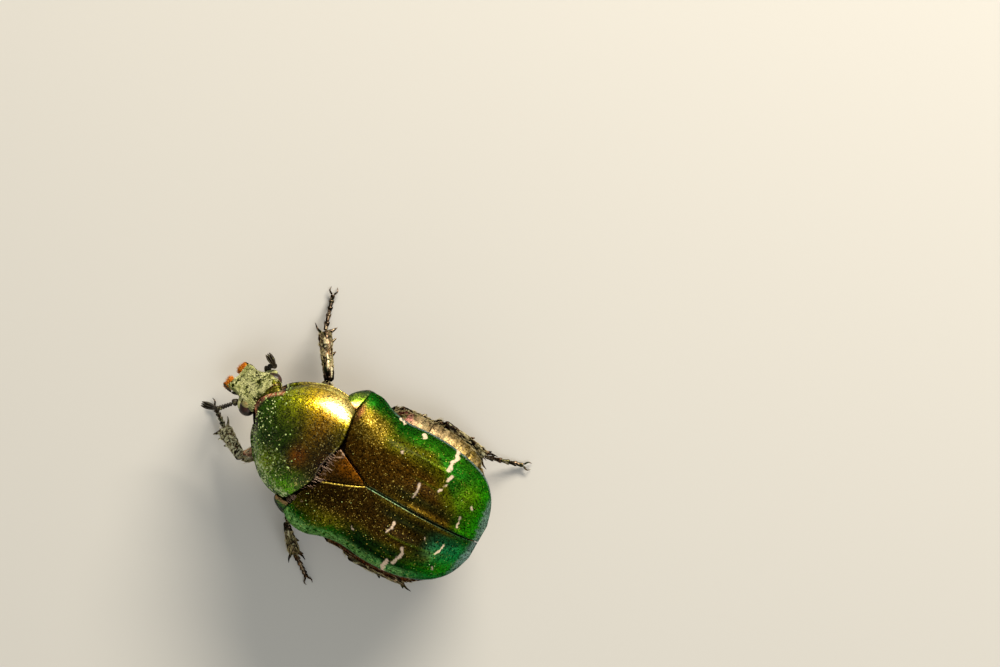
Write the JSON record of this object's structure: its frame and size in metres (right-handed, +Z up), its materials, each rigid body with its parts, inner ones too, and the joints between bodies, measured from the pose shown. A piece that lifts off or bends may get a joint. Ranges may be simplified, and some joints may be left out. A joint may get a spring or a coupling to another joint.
{
  "type": "rose chafer",
  "caption": "Rose chafer beetle, life size, standing with legs spread and head turned, with green and bronze wing cases, leaf-tipped feelers and hooked feet.",
  "frame": {"origin": "on the floor, under the middle of the beetle's box", "axes": "head towards -Y, the beetle's left towards +X, +Z up"},
  "size_m": [0.0176, 0.02, 0.0073],
  "materials": {
    "elytra_green": "hard glossy shell with a metallic green and bronze lustre and small cream marks",
    "pronotum_gold_green": "hard glossy shell with a metallic green and gold lustre and fine punctures",
    "scutellum_bronze": "hard glossy bronze shell",
    "underside_copper": "coppery shell with short pale hair",
    "head_green_pollen": "green shell under pale hair and pollen",
    "eye_dark": "dark brown glossy eye of fine facets",
    "leg_dark_copper": "dark coppery shell with pale hair and pollen",
    "antenna_dark": "dark brown shell, satin",
    "maxilla_orange": "orange brush of fine hair"
  },
  "bodies": {
    "root": {"abdomen": "underside_copper", "antenna_left": "antenna_dark", "antenna_right": "antenna_dark", "elytron_left": "elytra_green", "elytron_right": "elytra_green", "eye_left": "eye_dark", "eye_right": "eye_dark", "front_left_femur": "leg_dark_copper", "front_left_tarsus": "leg_dark_copper", "front_left_tibia": "leg_dark_copper", "front_right_femur": "leg_dark_copper", "front_right_tarsus": "leg_dark_copper", "front_right_tibia": "leg_dark_copper", "head": "head_green_pollen", "hind_left_femur": "leg_dark_copper", "hind_left_tarsus": "leg_dark_copper", "hind_left_tibia": "leg_dark_copper", "hind_right_femur": "leg_dark_copper", "hind_right_tarsus": "leg_dark_copper", "hind_right_tibia": "leg_dark_copper", "maxilla_left": "maxilla_orange", "maxilla_right": "maxilla_orange", "mesepimeron_left": "pronotum_gold_green", "mesepimeron_right": "pronotum_gold_green", "middle_left_femur": "leg_dark_copper", "middle_left_tarsus": "leg_dark_copper", "middle_left_tibia": "leg_dark_copper", "middle_right_femur": "leg_dark_copper", "middle_right_tarsus": "leg_dark_copper", "middle_right_tibia": "leg_dark_copper", "pronotum": "pronotum_gold_green", "prothorax": "underside_copper", "pygidium": "underside_copper", "scutellum": "scutellum_bronze", "thorax": "underside_copper"}
  },
  "joints": []
}
